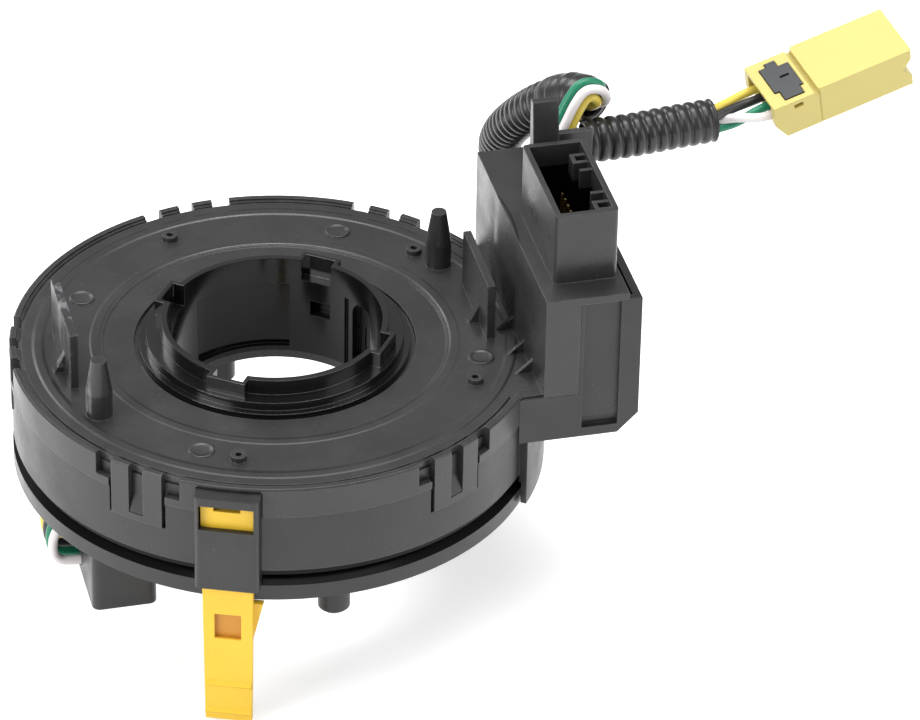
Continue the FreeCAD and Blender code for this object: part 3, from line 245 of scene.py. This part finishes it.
def with_cover_forms(mat):
    """Soft rings and shallow bowls moulded in the cover, scuffs on the left rib and painted shade inside
    the socket.
    """
    s = Shader(mat)
    x, y, z, radius = s.place()
    rings = s.profile(s.math("DIVIDE", radius, DRUM_R), COVER_RINGS)
    normal = s.bump(rings, RING_DEPTH, 1.0, s.source("Normal"))
    inward = 0.0
    for angle in DIMPLE_ANGLES:
        a = math.radians(angle)
        away = s.node("ShaderNodeVectorMath", Vector=s.coords)
        away.operation = "DISTANCE"
        away.inputs[1].default_value = (DIMPLE_AT_R * math.cos(a), DIMPLE_AT_R * math.sin(a), 0.0)
        bowl = s.node("ShaderNodeMapRange", Value=away.outputs["Value"], From_Min=DIMPLE_R, From_Max=0.0)
        inward = s.math("MAXIMUM", inward, bowl.outputs[0])
    normal = s.bump(s.profile(inward, DIMPLE_PROFILE), DIMPLE_DEPTH, 1.0, normal)
    s.feed(s.out.inputs["Normal"], normal)
    on_rib = s.math("MULTIPLY", s.below(x, LEFT_RIB_X), s.math("GREATER_THAN", z, LEFT_RIB_FOOT))
    scuffs = s.grey(s.noise(SCUFF_SCALE, 5.0, 0.75, SCUFF_STRETCH), 0.0, 0.55, 0.5, 0.66)
    s.repaint(s.math("MULTIPLY", on_rib, scuffs), SCUFF_COLOUR)
    # Painted shade: the inside of the socket is painted near black and made less glossy, where little light
    # gets in
    socket_shade_mask = s.math("MULTIPLY", s.between(x, SOCKET_X), s.between(y, SOCKET_Y))
    socket_shade_mask = s.math("MULTIPLY", socket_shade_mask, s.between(z, SOCKET_Z))
    s.dull(socket_shade_mask, 0.1)
    s.repaint(socket_shade_mask, SOCKET_SHADE)
    return mat


def with_painted_gap_shade(mat):
    """Painted shade: the gap between the wall and the flange's rim is painted black and made less glossy.
    """
    s = Shader(mat)
    _, _, z, radius = s.place()
    # Painted shade where little light gets into the gap
    gap = s.math("MULTIPLY", s.between(z, RIM_GAP_Z), s.below(radius, RIM_GAP_R))
    s.dull(gap, 0.12)
    s.repaint(gap, RIM_GAP_SHADE)
    s.feed(s.out.inputs["Roughness"], s.mix(gap, s.source("Roughness"), (0.25, 0.25, 0.25)))
    return mat


def with_dull_bore(mat):
    """The bore's wall and panels mirror less than the rings above them."""
    s = Shader(mat)
    _, _, z, radius = s.place()
    panels = s.math("MULTIPLY", s.below(radius, BORE_PANEL_R), s.below(z, BORE_PANEL_TOP))
    s.dull(s.math("MAXIMUM", panels, s.below(radius, BORE_WALL_R)), 0.2)
    return mat


def with_painted_hole_shade(mat):
    """Painted shade: the floor of the lock's square hole is painted a darker orange-brown, the shade of a
    deeper hole.
    """
    s = Shader(mat)
    turned = s.node("ShaderNodeVectorRotate", Vector=s.coords, Angle=-LOCK_ANGLE).outputs[0]
    outward, across, up = s.node("ShaderNodeSeparateXYZ", Vector=turned).outputs
    hole = s.math("MULTIPLY", s.below(outward, LOCK_HOLE_FLOOR),
                  s.between(across, (-LOCK_HOLE_HALF, LOCK_HOLE_HALF)))
    # Painted shade on the hole's floor
    s.repaint(s.math("MULTIPLY", hole, s.between(up, LOCK_HOLE_Z)), LOCK_HOLE_SHADE)
    return mat


MATERIALS = {
    "cover_grey": with_cover_forms(moulded("cover_grey", (0.028, 0.028, 0.0295), 0.33, edge_light=2.8,
                                           dust=0.07)),
    "housing_black": with_painted_gap_shade(moulded("housing_black", (0.017, 0.0165, 0.017), 0.38, edge_light=2.6,
                                           dust=0.07)),
    "hub_dark": with_dull_bore(moulded("hub_dark", (0.006, 0.0058, 0.0058), 0.16, grain=0.003, specular=0.8,
                                       rough_span=0.05)),
    "flange_dark": with_painted_gap_shade(moulded("flange_dark", (0.012, 0.012, 0.012), 0.34, edge_light=2.2)),
    "holder_natural": moulded("holder_natural", (0.020, 0.020, 0.021), 0.5),
    "pin_gold": glossy_metal("pin_gold", (0.83, 0.62, 0.26), 0.25),
    "blade_tin": glossy_metal("blade_tin", (0.72, 0.72, 0.73), 0.28),
    "cable_film": moulded("cable_film", (0.30, 0.13, 0.035), 0.22),
    "slip_sheet": moulded("slip_sheet", (0.62, 0.62, 0.60), 0.5),
    "lock_yellow": with_painted_hole_shade(moulded("lock_yellow", (0.82, 0.52, 0.035), 0.40, tint=0.07,
                                          edge_light=1.12)),
    "tube_grey": moulded("tube_grey", (0.018, 0.0175, 0.018), 0.30),
    "tape_black": moulded("tape_black", (0.022, 0.021, 0.023), 0.30),
    "wire_green": moulded("wire_green", (0.010, 0.19, 0.10), 0.36, tint=0.08),
    "wire_white": moulded("wire_white", (0.74, 0.71, 0.70), 0.36, tint=0.05, edge_light=1.05),
    "wire_yellow": moulded("wire_yellow", (0.74, 0.58, 0.09), 0.36, tint=0.07, edge_light=1.05),
    "wire_black": moulded("wire_black", (0.022, 0.022, 0.024), 0.34),
    "connector_yellow": moulded("connector_yellow", (0.56, 0.47, 0.14), 0.42, tint=0.05, edge_light=1.08),
    "insert_dark": moulded("insert_dark", (0.040, 0.042, 0.044), 0.42),
}
for entry in frame["record"]["subparts"]:
    node = NODES[entry["node"]]
    node.data.materials.clear()
    node.data.materials.append(MATERIALS[entry["material_slot"]])


# Tubes and leads; their routes are in mm, as in the part's source
LOOM_D = 9.0 * MM
WIRE_D = 1.9 * MM
LOOM_LOWER = ((60.0, 25.6, -3.9), (60.0, 34.0, -3.9), (60.3, 44.0, -4.4), (60.2, 52.6, -3.0),
              (58.4, 52.6, 5.0), (57.6, 46.5, 12.0), (58.2, 39.5, 19.2), (60.2, 31.5, 27.0),
              (63.6, 25.6, 32.4), (67.0, 21.5, 35.0), (68.3, 18.4, 34.9))
LOOM_UPPER = ((65.0, 11.9, 30.1), (73.0, 12.2, 29.8), (83.0, 13.3, 30.1), (92.1, 14.4, 30.0))
# The middle of the four leads: through the lower tube, over the bare loop, round to the upper tube
WIRE_ROUTE = ((60.0, 21.5, -3.9), (60.0, 34.0, -3.9), (60.3, 44.0, -4.4), (60.2, 51.6, -3.6),
              (59.0, 53.4, 1.4), (58.0, 50.4, 8.0), (57.6, 46.0, 12.8), (58.2, 39.5, 19.2),
              (60.2, 31.5, 27.0), (63.6, 25.6, 32.4), (67.0, 21.5, 35.0), (68.5, 18.2, 35.4),
              (69.4, 15.8, 37.4), (68.4, 14.9, 39.8), (65.6, 14.6, 40.4), (63.4, 13.9, 37.8),
              (61.6, 13.0, 34.4), (60.0, 12.4, 31.8), (56.6, 12.0, 30.2), (55.0, 12.0, 26.8),
              (57.6, 11.9, 24.0), (61.6, 11.9, 26.2), (66.0, 12.0, 30.0), (73.0, 12.2, 29.8))
# Each lead's corner of the bundle, to the side and up
WIRE_CORNERS = {"green": (-1, -1), "white": (-1, 1), "yellow": (1, 1), "black": (1, -1)}
WIRE_SPACING = 1.05
# Each lead's place at the end of the upper tube, from the tube's middle
WIRE_EXITS = {"yellow": (0, 0.9, 1.6), "black": (0, -0.9, 0.95), "green": (0, -0.8, -1.8),
              "white": (0, 0.95, -0.95)}
# Where each lead passes behind the connector and enters it: along, across and up in the connector's frame
WIRE_ENTRIES = {"yellow": ((-6.0, 2.9, 0.7), (-1.5, 4.05, 0.0), (1.6, 4.05, 0.0)),
                "black": ((-6.0, 0.9, 0.8), (-1.5, 1.35, 0.0), (1.6, 1.35, 0.0)),
                "green": ((-6.0, -1.2, -1.4), (-1.5, -1.35, 0.0), (1.6, -1.35, 0.0)),
                "white": ((-6.0, -1.7, 0.8), (-1.5, -4.05, 0.0), (1.6, -4.05, 0.0))}
PLUG_AT = Vector((102.7, 15.8, 31.8)) * MM
PLUG_TURN = Euler([math.radians(a) for a in (10.4, -13.0, 9.0)], "XYZ")
PLUG_FRAME = Matrix.Translation(PLUG_AT) @ PLUG_TURN.to_matrix().to_4x4()

RIB_PITCH = 2.4 * MM
RIB_DEPTH = 0.95 * MM
RIB_FLATNESS = 0.38      # a lower power gives wider ribs and narrower valleys
RIB_STEPS = 10           # rings of the mesh in one rib
TUBE_BORE = 3.3 * MM
AROUND = 36              # corners of one ring
ROUND_OFF = 1e-12
TAPE_L = 10.5 * MM
TAPE_STEP = 0.25 * MM
TAPE_TURN = 3.1 * MM
TAPE_T = 0.22 * MM
TAPE_RIDGE = 0.10 * MM
TAPE_RIDGE_FROM = 0.86   # share of a turn where the overlap's ridge starts
TAPE_SINK = 0.25         # share of the ribs' depth that shows through
TAPE_BORE = 4.45 * MM


def metres(points):
    return [Vector(p) * MM for p in points]


def cord_curve(name, points, diameter, material):
    curve = bpy.data.curves.new(name, "CURVE")
    curve.dimensions = "3D"
    curve.resolution_u = 10
    curve.bevel_depth = diameter / 2
    curve.bevel_resolution = 5
    curve.use_fill_caps = True
    spline = curve.splines.new("NURBS")
    spline.points.add(len(points) - 1)
    for point, place in zip(spline.points, points):
        point.co = (*place, 1.0)
    spline.order_u = 3
    spline.use_endpoint_u = True
    piece = bpy.data.objects.new(name, curve)
    bpy.context.scene.collection.objects.link(piece)
    curve.materials.append(material)
    return piece


def spline_points(points):
    """Points along the NURBS line of a route."""
    bare = cord_curve("route", points, 0.0, None)
    mesh = bpy.data.meshes.new_from_object(bare)
    line = [v.co.copy() for v in mesh.vertices]
    bpy.data.meshes.remove(mesh)
    bpy.data.objects.remove(bare)
    return line


def length_of(line):
    return sum((b - a).length for a, b in zip(line, line[1:]))


def bundled(side, rise):
    """The bundle's route moved to one side and up; the leads run side by side without twisting."""
    middles = [Vector(p) for p in WIRE_ROUTE]
    along = (middles[1] - middles[0]).normalized()
    offset = Vector((-along.y, along.x, 0)).normalized() * side + Vector((0, 0, 1)) * rise
    offset -= along * offset.dot(along)
    moved = [middles[0] + offset]
    for i in range(1, len(middles)):
        ahead = (middles[i + 1] - middles[i]).normalized() if i + 1 < len(middles) else along
        face = along + ahead
        moved.append(middles[i] + offset - along * (offset.dot(face) / along.dot(face)))
        offset = along.rotation_difference(ahead) @ offset
        along = ahead
    return [p * MM for p in moved]


def places_along(line, step):
    """Points at an even step along a line, each with its direction."""
    total = length_of(line)
    count = max(2, round(total / step))
    wanted = [total * i / count for i in range(count + 1)]
    out = []
    gone = 0.0
    for a, b in zip(line, line[1:]):
        run = (b - a).length
        while len(out) <= count and wanted[len(out)] <= gone + run + ROUND_OFF:
            share = (wanted[len(out)] - gone) / run if run else 0.0
            out.append((a.lerp(b, share), (b - a).normalized()))
        gone += run
    while len(out) <= count:
        out.append((line[-1].copy(), (line[-1] - line[-2]).normalized()))
    return out


def swept(name, line, step, radius_at, bore, material):
    """A tube along a line: its outer radius changes along the way and its bore doesn't."""
    places = places_along(line, step)
    last, before = places[0]
    side = before.orthogonal().normalized()
    travelled = 0.0
    outside = []
    for at, along in places:
        side = before.rotation_difference(along) @ side
        travelled += (at - last).length
        outside.append((at, along, side, radius_at(travelled)))
        last = at
        before = along
    inside = [(at, along, side, bore) for at, along, side, _ in reversed(outside)]
    turns = [2 * math.pi * k / AROUND for k in range(AROUND)]
    bm = bmesh.new()
    rings = []
    for at, along, side, radius in outside + inside:
        up = along.cross(side)
        rings.append([bm.verts.new(at + (side * math.cos(t) + up * math.sin(t)) * radius) for t in turns])
    for low, high in zip(rings, rings[1:] + rings[:1]):
        for k in range(AROUND):
            after = (k + 1) % AROUND
            bm.faces.new((low[k], low[after], high[after], high[k]))
    bmesh.ops.recalc_face_normals(bm, faces=bm.faces)
    mesh = bpy.data.meshes.new(name)
    bm.to_mesh(mesh)
    bm.free()
    for face in mesh.polygons:
        face.use_smooth = True
    mesh.materials.append(material)
    piece = bpy.data.objects.new(name, mesh)
    bpy.context.scene.collection.objects.link(piece)
    return piece


def corrugation(travelled):
    """Outer radius of a tube: wide rounded ribs with narrow valleys."""
    bulge = abs(math.sin(math.pi * ((travelled / RIB_PITCH) % 1.0))) ** RIB_FLATNESS
    return LOOM_D / 2 - RIB_DEPTH + RIB_DEPTH * bulge


def taped(travelled):
    """Outer radius of the tape: a ridge at each turn, and the ribs show through it."""
    ridge = TAPE_RIDGE if (travelled / TAPE_TURN) % 1.0 > TAPE_RIDGE_FROM else 0.0
    return corrugation(travelled) * TAPE_SINK + (LOOM_D / 2) * (1 - TAPE_SINK) + TAPE_T + ridge


def corrugated_tube(name, route, node):
    line = spline_points(metres(route))
    piece = swept(name, line, RIB_PITCH / RIB_STEPS, corrugation, TUBE_BORE, MATERIALS["tube_grey"])
    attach(piece, "stator")
    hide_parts(node)
    return piece


def wound_tape():
    """Tape over the last ribs of the lower tube."""
    line = spline_points(metres(LOOM_LOWER))
    spare = length_of(line) - TAPE_L
    while spare > (line[1] - line[0]).length:
        spare -= (line[1] - line[0]).length
        line.pop(0)
    piece = swept("wound_tape", line, TAPE_STEP, taped, TAPE_BORE, MATERIALS["tape_black"])
    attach(piece, "stator")
    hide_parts("loom_tape")
    return piece


TUBES = [corrugated_tube("corrugated_tube_lower", LOOM_LOWER, "loom_lower"), wound_tape(),
         corrugated_tube("corrugated_tube_upper", LOOM_UPPER, "loom_upper")]
for colour, (side, rise) in WIRE_CORNERS.items():
    route = bundled(side * WIRE_SPACING, rise * WIRE_SPACING)
    route += [(Vector(p) + Vector(WIRE_EXITS[colour])) * MM for p in LOOM_UPPER[-2:]]
    route += [PLUG_FRAME @ (Vector(p) * MM) for p in WIRE_ENTRIES[colour]]
    wire = cord_curve("lead_" + colour, route, WIRE_D, MATERIALS["wire_" + colour])
    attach(wire, "stator")
    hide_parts("wire_" + colour)
    length_of(spline_points(route))


# Studio
FLOOR_Z = -0.0545
FLOOR_HALF = 6.0
FLOOR_COLOUR = (0.90, 0.90, 0.905)
FLOOR_GLOW = 0.5
WORLD_LIGHT = 0.36
LAMPS = (  # name, place, aim, size, watts
    ("top_light", (0.05, 0.0, 0.95), (0.02, 0.0, 0.0), (0.9, 0.9), 8.5),
    ("strip_light", (0.0, 0.25, 1.0), (0.0, 0.0, 0.0), (0.7, 0.12), 3.2),
    ("left_light", (-0.85, -0.35, 0.45), (0.0, 0.0, 0.0), (0.5, 0.5), 6.5),
    ("right_light", (0.8, -0.5, 0.35), (0.04, 0.0, 0.0), (0.5, 0.7), 3.0),
    ("back_light", (-0.45, 0.85, 0.62), (0.0, 0.0, 0.0), (0.5, 0.4), 3.8),
)


def pale_stage():
    """Floor that looks pale to the camera and in mirrors, keeps the shadow and adds no light."""
    s = new_shader("pale_stage", 0.0, 0.5)
    s.out.inputs["Base Color"].default_value = (*FLOOR_COLOUR, 1.0)
    s.out.inputs["Roughness"].default_value = 0.7
    s.out.inputs["Emission Color"].default_value = (1.0, 1.0, 1.0, 1.0)
    rays = s.node("ShaderNodeLightPath").outputs
    seen = s.math("MAXIMUM", rays["Is Camera Ray"], rays["Is Glossy Ray"])
    seen = s.math("MAXIMUM", seen, rays["Is Transmission Ray"])
    s.feed(s.out.inputs["Emission Strength"], s.math("MULTIPLY", seen, FLOOR_GLOW))
    return s.mat


def add_floor():
    corners = [(x * FLOOR_HALF, y * FLOOR_HALF, FLOOR_Z) for x, y in ((-1, -1), (1, -1), (1, 1), (-1, 1))]
    mesh = bpy.data.meshes.new("studio_floor")
    mesh.from_pydata(corners, [], [(0, 1, 2, 3)])
    mesh.materials.append(pale_stage())
    floor = bpy.data.objects.new("studio_floor", mesh)
    bpy.context.scene.collection.objects.link(floor)


def add_lamp(name, place, aim, size, watts):
    lamp = bpy.data.lights.new(name, "AREA")
    lamp.shape = "RECTANGLE"
    lamp.size, lamp.size_y = size
    lamp.energy = watts
    holder = bpy.data.objects.new(name, lamp)
    holder.location = place
    holder.rotation_mode = "QUATERNION"
    holder.rotation_quaternion = (Vector(aim) - Vector(place)).to_track_quat("-Z", "Y")
    bpy.context.scene.collection.objects.link(holder)


add_floor()
for lamp in LAMPS:
    add_lamp(*lamp)
world = bpy.data.worlds.new("studio")
world.use_nodes = True
world.node_tree.nodes["Background"].inputs["Color"].default_value = (1.0, 1.0, 1.0, 1.0)
world.node_tree.nodes["Background"].inputs["Strength"].default_value = WORLD_LIGHT
bpy.context.scene.world = world

# Camera, fitted to the photograph
ELEVATION = math.radians(34.05)
ROLL = math.radians(1.19)
TURN = math.radians(14.3)
CAMERA_AT = Vector((-0.18427, -0.87098, 0.59691))
LENS = 212.63
turn_back = Matrix.Rotation(-TURN, 3, "Z")
plain_up = Vector((0, math.sin(ELEVATION), math.cos(ELEVATION)))
plain_right = Vector((1, 0, 0))
right = turn_back @ (plain_right * math.cos(ROLL) + plain_up * math.sin(ROLL))
up = turn_back @ (plain_up * math.cos(ROLL) - plain_right * math.sin(ROLL))
back = right.cross(up)
camera_data = bpy.data.cameras.new("photo_camera")
camera_data.sensor_width = 36.0
camera_data.lens = LENS
camera_data.clip_start = 0.05
camera_data.clip_end = 50.0
camera = bpy.data.objects.new("photo_camera", camera_data)
camera.matrix_world = Matrix((right, up, back)).transposed().to_4x4()
camera.location = CAMERA_AT
bpy.context.scene.collection.objects.link(camera)
bpy.context.scene.camera = camera
bpy.context.scene.view_settings.view_transform = "Standard"
